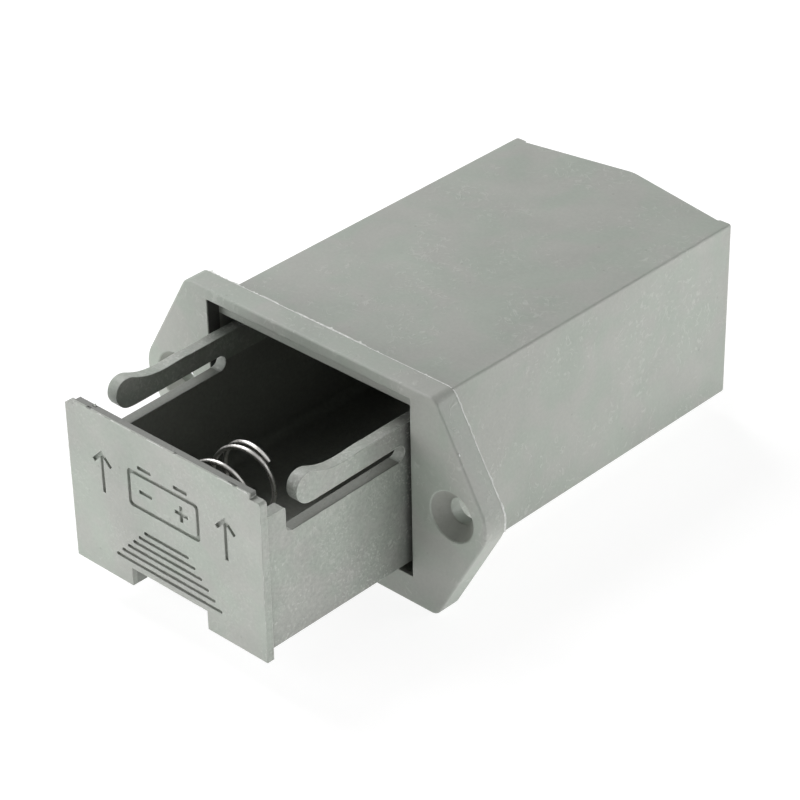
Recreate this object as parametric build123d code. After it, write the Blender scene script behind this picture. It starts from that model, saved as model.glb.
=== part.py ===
"""Panel mount battery holder for one flat nine volt block battery.

One STEP file is written for each piece, all in one frame and in the pose of the
photo, with the drawer pulled part of the way out.

Frame, in millimetres: the origin lies on the panel face of the flange, midway
between the two screw holes. X runs to the right as seen from the front, Y runs
through the panel to the rear and Z runs up.
"""
import math
import os

from build123d import *

# Battery that the holder is made for
BATTERY_W, BATTERY_T, BATTERY_L = 26.5, 17.5, 48.5
STUD_X, STUD_H = 6.35, 3.0   # half the distance between the studs, and their height
BATTERY_PLAY = 0.2           # battery to each side wall
BATTERY_SINK = 0.05          # top of the battery below the top of the walls

# Tray of the drawer
WALL_T, FLOOR_T = 1.5, 1.4
FLOOR_R, KEEL_R = 1.2, 0.4   # roundings along the floor, inside and outside
END_T, END_CUT_W, END_LOW_H = 1.4, 22.8, 3.2
SPRING_ROOM = 4.25           # room for the pressed coil spring behind the front

# Front of the drawer
PLATE_T = 1.0
PLATE_OVERHANG = 0.45        # past each side wall
PLATE_RISE = 1.7             # past the top of the walls
SHOULDER_W, SHOULDER_DROP, SHOULDER_R = 1.55, 0.65, 0.4
NOTCH_W, NOTCH_H, NOTCH_R = 12.2, 2.45, 0.4
HOOK_W, HOOK_T, HOOK_DROP = 6.9, 2.1, 0.82
GROOVE_W, GROOVE_DEPTH, GROOVE_N = 0.48, 0.35, 6
GROOVE_LEN, GROOVE_PITCH, GROOVE_RISE = 16.6, 0.985, 3.45

# Spring arm of each side wall; the outlines are (Y from the front's rear face,
# Z from the top of the wall)
ARM_T, SLOT_ROOT_R = 2.48, 1.03
SLOT_LEN, SLOT_FALL = 20.6, 0.35   # the slot floor falls from its root to the post
ARM_RISE = 1.1               # top of the nose above the wall
ARM_BACK = [(16.5, -0.08), (13.7, -0.12), (12.4, -0.18), (11.0, -0.12), (9.5, 0.13),
            (8.15, 0.6), (7.3, 0.98)]
ARM_NOSE = [(6.5, ARM_RISE), (5.6, 0.86), (5.08, 0.35), (4.85, -0.3), (4.83, -0.95),
            (5.04, -1.55), (5.45, -2.14), (6.05, -2.53), (6.8, -2.71), (7.6, -2.75)]
POST_LEN, POST_DROP = 3.1, 1.5
POST_FOOT_R, POST_TIP_R = 0.85, 0.35

# Coil spring on the boss of the front
WIRE_D, WIRE_SIDES, COIL_R = 0.6, 8, 4.15
SPRING_LEN, SPRING_TURNS, END_PITCH = 12.75, 4.75, 0.75
END_PAST_TOP = 0.12          # laps from the top of the rear coil to the wire's end
BOSS_PLAY, BOSS_LEN, BOSS_WALL = 0.1, 2.0, 1.2

# Opening in the flange, with a recess for the drawer front and a sill below it
SILL_Z = -10.9               # top of the sill, from the screws
SILL_T, POCKET_DROP = 0.65, 0.75
SLIDE_GAP = 0.18             # hooks above the sill while the drawer slides
DROP_PLAY = 0.7              # how far the closed drawer drops behind the sill
FRONT_GAP, REAR_GAP = 0.1, 0.1   # closed drawer front to the sill and to the recess
PLATE_PLAY = 0.6             # drawer front to each side of the opening
LIFT_ROOM = 2.15             # drawer front to the top of the opening

# Housing box
ARM_PLAY = 0.25              # spring arms to the ceiling
END_PLAY = 0.3               # closed drawer to the rear wall
SIDE_T, ROOF_T, BASE_T, REAR_T = 1.15, 1.5, 1.15, 1.6
GABLE_RISE, GABLE_R = 2.75, 4.0  # shallow gable of the rear wall and its rounded ridge
HORN_W, HORN_H, HORN_R = 1.4, 0.5, 0.45
BOX_EDGE_R = 0.35

# Flange with its two screw ears
FLANGE_T = 3.1
RIM_TOP, RIM_BOTTOM = 1.4, 3.75  # flange past the opening
CORNER_OUT, CORNER_R = 2.45, 1.4
EAR_OUT, EAR_R = 5.75, 4.7   # tip of the ear from the screw, before its rounding
FLANGE_EDGE_R = 0.25
SCREW_D, SINK_D = 3.3, 6.5
SINK_LAND = 1.6              # countersink to the side of the box

# Contact strips in the rear wall
STRIP_T, STRIP_W, BEND_R = 0.4, 5.0, 0.5
TAG_LEN, TAG_DROP = 6.5, 6.15
TAG_HOLE, TAG_TIP_W = 1.5, 1.2
LEAF_FOOT, LEAF_LIFT, LEAF_TIP = 2.6, 2.2, 2.8

DRAWER_OUT = 23.2            # pull-out of the photo, from the closed position

# Widths, from the battery outwards
BAY_X = BATTERY_W / 2 + BATTERY_PLAY
WALL_X = BAY_X + WALL_T
PLATE_X = WALL_X + PLATE_OVERHANG
OPEN_X = PLATE_X + PLATE_PLAY
BOX_X = OPEN_X + SIDE_T
HORN_X = BOX_X - HORN_W
GABLE_X = HORN_X - HORN_R
CORNER_X = BOX_X + CORNER_OUT
SCREW_X = BOX_X + SINK_LAND + SINK_D / 2
EAR_X = SCREW_X + EAR_OUT

# Heights, from the sill upwards
PLATE_BOTTOM = SILL_Z + SLIDE_GAP
UNDERSIDE = PLATE_BOTTOM + HOOK_DROP
FLOOR_Z = UNDERSIDE + FLOOR_T
BATTERY_Z = FLOOR_Z + BATTERY_T / 2
WALL_TOP = FLOOR_Z + BATTERY_T + BATTERY_SINK
PLATE_TOP = WALL_TOP + PLATE_RISE
CEILING = WALL_TOP + ARM_RISE + ARM_PLAY
TUNNEL_FLOOR = UNDERSIDE - DROP_PLAY
OPEN_TOP = PLATE_TOP + LIFT_ROOM
FLANGE_TOP, FLANGE_BOTTOM = OPEN_TOP + RIM_TOP, SILL_Z - RIM_BOTTOM
BOX_TOP, BOX_BOTTOM = CEILING + ROOF_T, TUNNEL_FLOOR - BASE_T
TAG_Z = BATTERY_Z - TAG_DROP

# Depths, from the front of the flange to the rear
FLANGE_FRONT = -FLANGE_T
CLOSED_FRONT = FLANGE_FRONT + SILL_T + FRONT_GAP
RECESS_Y = CLOSED_FRONT + PLATE_T + REAR_GAP
POCKET_Y = CLOSED_FRONT + HOOK_T + REAR_GAP
DRAWER_LEN = PLATE_T + SPRING_ROOM + BATTERY_L - STUD_H + END_T
GABLE_TURN = math.atan2(GABLE_RISE, GABLE_X)
REAR_DEPTH = REAR_T / math.cos(GABLE_TURN)
INNER_CORNER_Y = CLOSED_FRONT + DRAWER_LEN + END_PLAY
INNER_RIDGE_Y = INNER_CORNER_Y + GABLE_RISE * OPEN_X / GABLE_X
RIDGE_Y = INNER_RIDGE_Y + REAR_DEPTH
GABLE_Y = RIDGE_Y - GABLE_RISE

PLATE_FRONT = CLOSED_FRONT - DRAWER_OUT
PLATE_REAR = PLATE_FRONT + PLATE_T
DRAWER_REAR = PLATE_FRONT + DRAWER_LEN


def block(x0, x1, y0, y1, z0, z1):
    """Rectangular block between two corners."""
    box = Box(x1 - x0, y1 - y0, z1 - z0)
    return Pos((x0 + x1) / 2, (y0 + y1) / 2, (z0 + z1) / 2) * box


def front_plate(face, y0, y1):
    """Extrude a sketch drawn in X and Z from y0 to y1."""
    turned = Plane(origin=(0, y0, 0), x_dir=(1, 0, 0), z_dir=(0, -1, 0)) * face
    return extrude(turned, amount=y1 - y0, dir=(0, 1, 0))


def side_plate(face, x0, x1):
    """Extrude a sketch drawn in Y and Z from x0 to x1."""
    turned = Plane(origin=(x0, 0, 0), x_dir=(0, 1, 0), z_dir=(1, 0, 0)) * face
    return extrude(turned, amount=x1 - x0, dir=(1, 0, 0))


def top_plate(face, z0, z1):
    """Extrude a sketch drawn in X and Y from z0 to z1."""
    return extrude(Pos(0, 0, z0) * face, amount=z1 - z0, dir=(0, 0, 1))


def quarter_arc(start, end, centre, radius):
    """Arc between two points about a centre, by the shorter way."""
    mid = Vector(*start) + Vector(*end)
    out = (mid * 0.5 - Vector(*centre)).normalized()
    bow = Vector(*centre) + out * radius
    return ThreePointArc(start, (bow.X, bow.Y), end)


def flange_outline():
    """Hexagon with two blunt ears and rounded corners, drawn in X and Z."""
    pts = [(CORNER_X, FLANGE_TOP), (EAR_X, 0), (CORNER_X, FLANGE_BOTTOM),
           (-CORNER_X, FLANGE_BOTTOM), (-EAR_X, 0), (-CORNER_X, FLANGE_TOP)]
    face = make_face(Polyline(*pts, close=True))
    tips = face.vertices().filter_by(lambda v: abs(v.X) > EAR_X - 0.01)
    face = fillet(tips, EAR_R)
    corners = face.vertices().filter_by(lambda v: abs(abs(v.X) - CORNER_X) < 0.01)
    return fillet(corners, CORNER_R)


def box_outline():
    """Plan of the housing box: side horns and the shallow gable of the rear wall."""
    horn_y = GABLE_Y + HORN_H
    pts = [(-BOX_X, 0), (BOX_X, 0), (BOX_X, horn_y), (HORN_X, horn_y), (GABLE_X, GABLE_Y),
           (0, RIDGE_Y), (-GABLE_X, GABLE_Y), (-HORN_X, horn_y), (-BOX_X, horn_y)]
    face = make_face(Polyline(*pts, close=True))
    ridge = face.vertices().filter_by(lambda v: v.Y > RIDGE_Y - 0.01)
    face = fillet(ridge, GABLE_R)
    horns = face.vertices().filter_by(
        lambda v: abs(v.Y - horn_y) < 0.01 and abs(v.X) > BOX_X - 0.01)
    return fillet(horns, HORN_R)


def tunnel_outline():
    """Plan of the room behind the recess, with the inner face of the gable."""
    return make_face(Polyline((-OPEN_X, RECESS_Y), (OPEN_X, RECESS_Y), (OPEN_X, INNER_CORNER_Y),
                              (0, INNER_RIDGE_Y), (-OPEN_X, INNER_CORNER_Y), close=True))


def contact_frame(side):
    """Frame on the inner face of the rear wall at one stud: Y points out along its normal."""
    y = INNER_RIDGE_Y - STUD_X * math.tan(GABLE_TURN)
    return Location((side * STUD_X, y, 0), (0, 0, -side * math.degrees(GABLE_TURN)))


def housing():
    """Flange, box, tunnel, recess with sill, countersunk ears and contact slots."""
    box = top_plate(box_outline(), BOX_BOTTOM, BOX_TOP)
    long_edges = box.edges().filter_by(Axis.Y).filter_by(lambda e: e.length > GABLE_Y / 2)
    box = fillet(long_edges, BOX_EDGE_R)
    flange = front_plate(flange_outline(), FLANGE_FRONT, 0)
    flange = fillet(flange.faces().sort_by(Axis.Y)[0].outer_wire().edges(), FLANGE_EDGE_R)
    body = flange + box

    body -= top_plate(tunnel_outline(), TUNNEL_FLOOR, CEILING)
    body -= block(-OPEN_X, OPEN_X, FLANGE_FRONT, RECESS_Y, SILL_Z, OPEN_TOP)
    body -= block(-OPEN_X, OPEN_X, FLANGE_FRONT + SILL_T, POCKET_Y, SILL_Z - POCKET_DROP, CEILING)

    sink = (SINK_D - SCREW_D) / 2
    slot = Box(STRIP_W, REAR_T, STRIP_T)
    for side in (-1, 1):
        drill = Pos(side * SCREW_X, FLANGE_FRONT, 0) * Rot(-90, 0, 0)
        body -= drill * Pos(0, 0, FLANGE_T / 2) * Cylinder(SCREW_D / 2, FLANGE_T)
        body -= drill * Pos(0, 0, sink / 2) * Cone(SINK_D / 2, SCREW_D / 2, sink)
        body -= contact_frame(side) * Pos(0, REAR_T / 2, TAG_Z) * slot
    return body


def wall_outline():
    """Side wall of the drawer with its slot, post and spring arm, drawn in Y and Z."""
    def at(points):
        return [(PLATE_REAR + y, WALL_TOP + z) for y, z in points]

    root_y, post_y = PLATE_REAR + SLOT_LEN, PLATE_REAR + POST_LEN
    root_top = WALL_TOP - ARM_T
    root_z = root_top - 2 * SLOT_ROOT_R
    slot_z = root_z - SLOT_FALL
    post_top = WALL_TOP - POST_DROP
    foot_y, tip_y = post_y + POST_FOOT_R, post_y - POST_TIP_R
    foot_z, tip_z = slot_z + POST_FOOT_R, post_top - POST_TIP_R
    back, nose = at(ARM_BACK), at([ARM_BACK[-1]] + ARM_NOSE)
    return make_face([
        Line((PLATE_REAR, UNDERSIDE), (DRAWER_REAR, UNDERSIDE)),
        Line((DRAWER_REAR, UNDERSIDE), (DRAWER_REAR, WALL_TOP)),
        Line((DRAWER_REAR, WALL_TOP), (root_y, WALL_TOP)),
        Line((root_y, WALL_TOP), back[0]),
        Spline(*back),
        Spline(*nose),
        Line(nose[-1], (root_y, root_top)),
        ThreePointArc((root_y, root_top), (root_y + SLOT_ROOT_R, root_z + SLOT_ROOT_R),
                      (root_y, root_z)),
        Line((root_y, root_z), (foot_y, slot_z)),
        quarter_arc((foot_y, slot_z), (post_y, foot_z), (foot_y, foot_z), POST_FOOT_R),
        Line((post_y, foot_z), (post_y, tip_z)),
        quarter_arc((post_y, tip_z), (tip_y, post_top), (tip_y, tip_z), POST_TIP_R),
        Line((tip_y, post_top), (PLATE_REAR, post_top)),
        Line((PLATE_REAR, post_top), (PLATE_REAR, UNDERSIDE)),
    ])


def plate_outline():
    """Drawer front with stepped shoulders and the finger notch, drawn in X and Z."""
    shoulder = PLATE_TOP - SHOULDER_DROP
    step_x, notch_x, notch_z = PLATE_X - SHOULDER_W, NOTCH_W / 2, PLATE_BOTTOM + NOTCH_H
    right = [(notch_x, PLATE_BOTTOM), (PLATE_X, PLATE_BOTTOM), (PLATE_X, shoulder),
             (step_x, shoulder), (step_x, PLATE_TOP)]
    left = [(-x, z) for x, z in reversed(right)]
    face = make_face(Polyline(*right, *left, (-notch_x, notch_z), (notch_x, notch_z), close=True))
    top = face.vertices().filter_by(lambda v: abs(v.Y - shoulder) < 0.01 and abs(v.X) > PLATE_X - 0.01)
    face = fillet(top, SHOULDER_R)
    corners = face.vertices().filter_by(lambda v: abs(v.Y - notch_z) < 0.01)
    return fillet(corners, NOTCH_R)


def grip():
    """Grooves above the finger notch, each shorter than the one below it."""
    rows = Sketch()
    for i in range(GROOVE_N):
        length = GROOVE_LEN - 2 * i * GROOVE_PITCH
        z = PLATE_BOTTOM + GROOVE_RISE + i * GROOVE_PITCH
        rows += Pos(0, z) * SlotCenterToCenter(length, GROOVE_W)
    return front_plate(rows, PLATE_FRONT, PLATE_FRONT + GROOVE_DEPTH)


def finger_scoop():
    """Sloping roof of the finger notch, from the front's face back to the underside."""
    back_y = PLATE_FRONT + HOOK_T
    side = make_face(Polyline(
        (PLATE_FRONT, PLATE_BOTTOM + NOTCH_H), (back_y, UNDERSIDE), (back_y, PLATE_BOTTOM),
        (PLATE_FRONT, PLATE_BOTTOM), close=True))
    return side_plate(side, -NOTCH_W / 2, NOTCH_W / 2)


def drawer():
    """Tray with its front, hooks, walls, end rail and spring boss in one moulding."""
    body = front_plate(plate_outline(), PLATE_FRONT, PLATE_REAR)
    wall = wall_outline()
    for x0 in (-WALL_X, BAY_X):
        body += side_plate(wall, x0, x0 + WALL_T)
    body += block(-BAY_X, BAY_X, PLATE_REAR, DRAWER_REAR, UNDERSIDE, FLOOR_Z)
    for z, radius in ((FLOOR_Z, FLOOR_R), (UNDERSIDE, KEEL_R)):
        along = body.edges().filter_by(Axis.Y).filter_by(
            lambda e: e.length > DRAWER_LEN / 2 and abs(e.center().Z - z) < 0.01)
        body = fillet(along, radius)

    # the hooks and the end rail reach into the rounded tray, inside its outer faces
    notch_x, cut_x = NOTCH_W / 2, END_CUT_W / 2
    hook_top, rail_low = FLOOR_Z - FLOOR_T / 2, UNDERSIDE + KEEL_R
    end_y, rail_x = DRAWER_REAR - END_T, WALL_X - WALL_T / 2
    for side in (-1, 1):
        a, b = sorted((side * notch_x, side * (notch_x + HOOK_W)))
        body += block(a, b, PLATE_FRONT + PLATE_T / 2, PLATE_FRONT + HOOK_T, PLATE_BOTTOM, hook_top)
        c, d = sorted((side * cut_x, side * rail_x))
        body += block(c, d, end_y, DRAWER_REAR, rail_low, WALL_TOP)
    body += block(-cut_x, cut_x, end_y, DRAWER_REAR, rail_low, UNDERSIDE + END_LOW_H)

    boss_r = COIL_R - WIRE_D / 2 - BOSS_PLAY
    boss = Pos(0, PLATE_REAR, BATTERY_Z) * Rot(-90, 0, 0) * Pos(0, 0, BOSS_LEN / 2)
    body += boss * (Cylinder(boss_r, BOSS_LEN) - Cylinder(boss_r - BOSS_WALL, BOSS_LEN))
    return body - finger_scoop() - grip()


def spring():
    """Compression spring: a closed coil at each end and open coils between them.

    The round wire is drawn with a few flats, which keeps the long coils light.
    """
    start_y = PLATE_REAR + WIRE_D / 2
    open_turns = SPRING_TURNS - 2
    open_pitch = (SPRING_LEN - WIRE_D - 2 * END_PITCH) / open_turns
    steps = round(SPRING_TURNS * 8)
    points = []
    for i in range(steps + 1):
        lap = SPRING_TURNS * i / steps
        opened = min(max(lap - 1, 0), open_turns)
        turn = 2 * math.pi * (lap - SPRING_TURNS + END_PAST_TOP)
        points.append((COIL_R * math.sin(turn),
                       start_y + (lap - opened) * END_PITCH + opened * open_pitch,
                       BATTERY_Z + COIL_R * math.cos(turn)))
    path = Spline(*points)
    section = Plane(origin=path @ 0, z_dir=path % 0) * RegularPolygon(WIRE_D / 2, WIRE_SIDES)
    return sweep(section, path=path, is_frenet=True)


def contact(side):
    """Leaf spring contact: solder tag, shank through the rear wall and bowed leaf."""
    crest = -BEND_R - LEAF_LIFT
    tag_y = REAR_T + TAG_LEN
    line = FilletPolyline(
        (tag_y, TAG_Z), (-BEND_R, TAG_Z), (-BEND_R, TAG_Z + LEAF_FOOT), (crest, BATTERY_Z),
        (crest + LEAF_LIFT / 2, BATTERY_Z + LEAF_TIP), radius=BEND_R)
    strip = side_plate(trace(line, STRIP_T), -STRIP_W / 2, STRIP_W / 2)
    corners = strip.edges().filter_by(Axis.Z).filter_by(lambda e: e.center().Y > tag_y - 0.01)
    strip = fillet(corners, (STRIP_W - TAG_TIP_W) / 2)
    strip -= Pos(0, tag_y - STRIP_W / 2, TAG_Z) * Cylinder(TAG_HOLE / 2, 4 * STRIP_T)
    return contact_frame(side) * strip


def main():
    os.makedirs("parts", exist_ok=True)
    export_step(housing(), "parts/housing.step")
    export_step(drawer(), "parts/drawer.step")
    export_step(spring(), "parts/battery_spring.step")
    export_step(contact(1), "parts/contact_right.step")
    export_step(contact(-1), "parts/contact_left.step")


if __name__ == "__main__":
    main()
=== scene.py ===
"""Panel mount battery holder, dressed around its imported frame.

The holder is a grey moulded housing with a screw flange, a drawer of the same
plastic pulled part of the way out, a bright coil spring behind the drawer front
and two contact strips in the rear wall. Lengths in the dataclasses are in
millimetres and become metres where a mesh is made. X runs to the right as seen
from the front, Y to the rear and Z up, with the origin on the panel face of the
flange between the two screws.
"""

import logging
import math
import random
from contextlib import contextmanager
from dataclasses import dataclass, field
from enum import Enum
from typing import Any, Iterator, Sequence

import bmesh
import bpy
from mathutils import Matrix, Vector


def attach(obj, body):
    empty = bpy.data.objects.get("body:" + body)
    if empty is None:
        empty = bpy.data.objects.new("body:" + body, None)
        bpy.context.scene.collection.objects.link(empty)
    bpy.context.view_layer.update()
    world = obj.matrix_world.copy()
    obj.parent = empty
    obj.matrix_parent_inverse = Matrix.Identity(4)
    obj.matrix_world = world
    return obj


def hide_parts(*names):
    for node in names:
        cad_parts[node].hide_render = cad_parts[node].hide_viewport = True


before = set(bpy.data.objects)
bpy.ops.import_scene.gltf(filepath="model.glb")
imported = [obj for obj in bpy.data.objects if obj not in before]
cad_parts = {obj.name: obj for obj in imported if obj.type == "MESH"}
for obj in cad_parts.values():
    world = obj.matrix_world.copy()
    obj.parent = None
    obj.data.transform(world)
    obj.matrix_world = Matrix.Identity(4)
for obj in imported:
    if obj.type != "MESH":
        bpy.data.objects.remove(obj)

log = logging.getLogger("battery_holder")
MM = 0.001
ARC_STEPS = 8  # spans in each rounded corner of the flange
SIGN_ARC_STEPS = 4  # spans in each rounded corner of the sign
WHITE = (1.0, 1.0, 1.0, 1.0)
NUMBER = "NodeSocketFloat"
VECTOR = "NodeSocketVector"
Point = tuple[float, float, float]
Colour = tuple[float, float, float]
Loop = list[tuple[float, float]]
Node = bpy.types.Node
Socket = bpy.types.NodeSocket
Piece = bpy.types.Object
MeshWork = bmesh.types.BMesh


class Body(Enum):
    """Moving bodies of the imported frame."""

    HOUSING = "housing_body"
    DRAWER = "drawer_body"


class Slot(Enum):
    """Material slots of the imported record."""

    PLASTIC = "plastic"
    SPRING_WIRE = "spring_wire"
    CONTACT_STRIP = "contact_strip"


class Graph:
    """Places and links the nodes of one shader tree."""

    def __init__(self, tree: bpy.types.NodeTree) -> None:
        self.tree = tree

    def add(self, kind: str, **settings: Any) -> Node:
        """Place one node of a kind, Blender's type name, and set its properties."""
        node = self.tree.nodes.new(kind)
        for name, value in settings.items():
            setattr(node, name, value)
        return node

    def feed(self, socket: Socket, value: Any) -> None:
        """Link an input socket to another socket, or set it to a constant."""
        if isinstance(value, bpy.types.NodeSocket):
            self.tree.links.new(value, socket)
        else:
            socket.default_value = value

    def fill(self, node: Node, *values: Any, **named: Any) -> Node:
        """Feed a node's inputs and give the node back.

        Args:
            node: the node.
            values: what feeds the first inputs, in order.
            named: input names, with underscores for spaces, and what feeds them.
        """
        for socket, value in zip(node.inputs, values):
            self.feed(socket, value)
        for name, value in named.items():
            self.feed(node.inputs[name.replace("_", " ")], value)
        return node

    def math(self, operation: str, *values: Any, clamp: bool = False) -> Socket:
        """Combine numbers with one Math node.

        Args:
            operation: Blender's name of the operation.
            values: sockets or constants, in the order of the node's inputs.
            clamp: whether the result stays between 0 and 1.
        """
        node = self.add("ShaderNodeMath", operation=operation, use_clamp=clamp)
        return self.fill(node, *values).outputs[0]

    def split(self, vector: Any) -> Any:
        """Take a vector socket apart into its X, Y and Z."""
        return self.fill(self.add("ShaderNodeSeparateXYZ"), vector).outputs

    def vary(self, pattern: Any, amount: Any, base: Any) -> Socket:
        """Add a pattern that swings about 0.5 to a base, times an amount."""
        return self.math("MULTIPLY_ADD", self.math("SUBTRACT", pattern, 0.5), amount, base)

    def by_view(self, other: Socket, plain: Socket) -> Socket:
        """Show one shader to the rays that see a plain surround, and another to the rest.

        Args:
            other: shader for the light on the object.
            plain: shader for camera, glossy and transmission rays.
        """
        rays = self.add("ShaderNodeLightPath").outputs
        seen = self.math("MAXIMUM", rays["Is Camera Ray"], rays["Is Glossy Ray"])
        seen = self.math("MAXIMUM", seen, rays["Is Transmission Ray"])
        return self.fill(self.add("ShaderNodeMixShader"), seen, other, plain).outputs[0]

    def step(self, value: Any, low: float, high: float) -> Socket:
        """Rise smoothly from 0 at low to 1 at high, or fall where low is above high."""
        node = self.add("ShaderNodeMapRange", interpolation_type="SMOOTHSTEP", clamp=True)
        start, end = (1.0, 0.0) if low > high else (0.0, 1.0)
        self.fill(node, Value=value, From_Min=min(low, high), From_Max=max(low, high),
                  To_Min=start, To_Max=end)
        return node.outputs["Result"]

    def noise(self, place: Any, size_mm: float, detail: float = 2.0, rough: float = 0.5,
              twist: float = 0.0) -> Socket:
        """Noise about 0.5, whose features are about size_mm across.

        Args:
            place: socket of the point in metres.
            size_mm: size of one feature.
            detail: number of finer layers.
            rough: weight of the finer layers.
            twist: how far the noise distorts itself.
        """
        node = self.add("ShaderNodeTexNoise", noise_dimensions="3D")
        self.fill(node, Vector=place, Scale=1.0 / (size_mm * MM), Detail=detail,
                  Roughness=rough, Distortion=twist)
        return node.outputs["Fac"]

    def blend(self, share: Any, first: Any, second: Any) -> Socket:
        """Mix two colours.

        Args:
            share: how much of the second colour shows.
            first: colour socket or constant.
            second: colour socket or constant.
        """
        node = self.add("ShaderNodeMix", data_type="RGBA", blend_type="MIX")
        self.feed(node.inputs[0], share)
        for socket, value in ((node.inputs[6], first), (node.inputs[7], second)):
            self.feed(socket, (*value, 1.0) if isinstance(value, tuple) else value)
        return node.outputs[2]

    def scale_colour(self, colour: Any, factor: Any) -> Socket:
        """Multiply a colour by one number; each is a socket or a constant."""
        node = self.add("ShaderNodeVectorMath", operation="SCALE")
        return self.fill(node, Vector=colour, Scale=factor).outputs[0]

    def relief(self, shader: Node, height: Any, strength: float, depth_mm: float,
               normal: Any = None) -> None:
        """Feed a shader's normal from a fine relief.

        Args:
            shader: the Principled shader.
            height: socket of the relief's height.
            strength: strength of the relief.
            depth_mm: depth of the relief, in millimetres.
            normal: socket of the normal under it, if not the surface's own.
        """
        under = {} if normal is None else {"Normal": normal}
        node = self.fill(self.add("ShaderNodeBump"), Strength=strength,
                         Distance=depth_mm * MM, Height=height, **under)
        self.fill(shader, Normal=node.outputs["Normal"])


class ShaderGroup:
    """Base of the shared node groups: built on first use, then placed where it is needed."""

    title = ""
    inputs: tuple[tuple[str, str, Any], ...] = ()
    outputs: tuple[tuple[str, str], ...] = ()

    def build(self, graph: Graph, given: Node, made: Node) -> None:
        """Fill the group between its input and output nodes.

        Args:
            graph: the group's graph.
            given: its input node.
            made: its output node.
        """
        raise NotImplementedError

    def tree(self) -> bpy.types.NodeTree:
        """Find the group's node tree, or make it on the first call."""
        if self.title in bpy.data.node_groups:
            return bpy.data.node_groups[self.title]
        tree = bpy.data.node_groups.new(self.title, "ShaderNodeTree")
        for name, kind, default in self.inputs:
            socket = tree.interface.new_socket(name, in_out="INPUT", socket_type=kind)
            if default is not None:
                socket.default_value = default
        for name, kind in self.outputs:
            tree.interface.new_socket(name, in_out="OUTPUT", socket_type=kind)
        graph = Graph(tree)
        self.build(graph, graph.add("NodeGroupInput"), graph.add("NodeGroupOutput"))
        return tree

    def place(self, graph: Graph, **values: Any) -> Node:
        """Put the group's node into a material's graph, and feed its inputs by name."""
        return graph.fill(graph.add("ShaderNodeGroup", node_tree=self.tree()), **values)


class MouldedSkin(ShaderGroup):
    """Cloudy tone, grain, flecks, worm-like scuffs and pits of a moulded plastic skin.

    The sizes of its features are in millimetres.
    """

    cloud_mm, tint_mm, patch_mm, drift_mm = 11.0, 6.0, 7.0, 4.5
    grain_mm, speck_mm, vein_mm, break_mm, pit_mm = 0.42, 0.34, 2.4, 0.9, 3.1
    grain_height, scuff_height, pit_height = 0.6, 1.3, 0.6
    title = "moulded_skin"
    inputs = (("Place", VECTOR, None),)
    outputs = tuple((name, NUMBER) for name in
                    ("Cloud", "Tint", "Grain", "Fleck", "Scuff", "Pit", "Height"))

    def build(self, graph: Graph, given: Node, made: Node) -> None:
        """Fill the group, with the arguments of the base."""
        place = given.outputs["Place"]
        cloud = graph.noise(place, self.cloud_mm, 3.0, 0.55, 0.4)
        tint = graph.step(graph.noise(place, self.tint_mm, 2.0, 0.5, 0.5), 0.35, 0.65)
        patch = graph.step(graph.noise(place, self.patch_mm, 2.0, 0.5), 0.42, 0.58)
        grain = graph.noise(place, self.grain_mm, 3.0, 0.6)
        specks = graph.step(graph.noise(place, self.speck_mm, 1.5, 0.5), 0.54, 0.68)
        drifts = graph.step(graph.noise(place, self.drift_mm, 3.0, 0.6), 0.42, 0.6)
        fleck = graph.math("MULTIPLY", specks, drifts)
        veins = graph.noise(place, self.vein_mm, 2.0, 0.5, twist=1.8)
        ridge = graph.step(graph.math("ABSOLUTE", graph.math("SUBTRACT", veins, 0.5)), 0.05, 0.0)
        broken = graph.step(graph.noise(place, self.break_mm, 2.0), 0.47, 0.58)
        scuff = graph.math("MULTIPLY", graph.math("MULTIPLY", ridge, broken), patch)
        cells = graph.fill(
            graph.add("ShaderNodeTexVoronoi", voronoi_dimensions="3D", feature="F1"),
            Vector=place, Scale=1.0 / (self.pit_mm * MM))
        pit = graph.step(cells.outputs["Distance"], 0.075, 0.03)
        height = graph.math("ADD", graph.math("MULTIPLY", grain, self.grain_height),
                            graph.math("MULTIPLY", scuff, self.scuff_height))
        height = graph.math("SUBTRACT", height, graph.math("MULTIPLY", pit, self.pit_height))
        graph.fill(made, Cloud=cloud, Tint=tint, Grain=grain, Fleck=fleck, Scuff=scuff,
                   Pit=pit, Height=height)


class EdgeWearAndHighlight(ShaderGroup):
    """Mask of broken edges, which wear and a painted highlight lighten, and a rounded normal for
    moulded or cut edges.
    """

    patch_mm = 2.2
    title = "edge_wear_and_highlight"
    inputs = (("Place", VECTOR, None), ("Radius", NUMBER, 0.0002))
    outputs = (("Mask", NUMBER), ("Normal", VECTOR))

    def build(self, graph: Graph, given: Node, made: Node) -> None:
        """Fill the group, with the arguments of the base."""
        rounded = graph.fill(graph.add("ShaderNodeBevel", samples=6),
                             Radius=given.outputs["Radius"])
        surface = graph.add("ShaderNodeNewGeometry")
        facing = graph.fill(graph.add("ShaderNodeVectorMath", operation="DOT_PRODUCT"),
                            rounded.outputs["Normal"], surface.outputs["Normal"])
        turned = graph.step(facing.outputs["Value"], 0.995, 0.9)
        patchy = graph.step(graph.noise(given.outputs["Place"], self.patch_mm, 3.0, 0.65),
                            0.36, 0.58)
        graph.fill(made, Mask=graph.math("MULTIPLY", turned, patchy),
                   Normal=rounded.outputs["Normal"])


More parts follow.
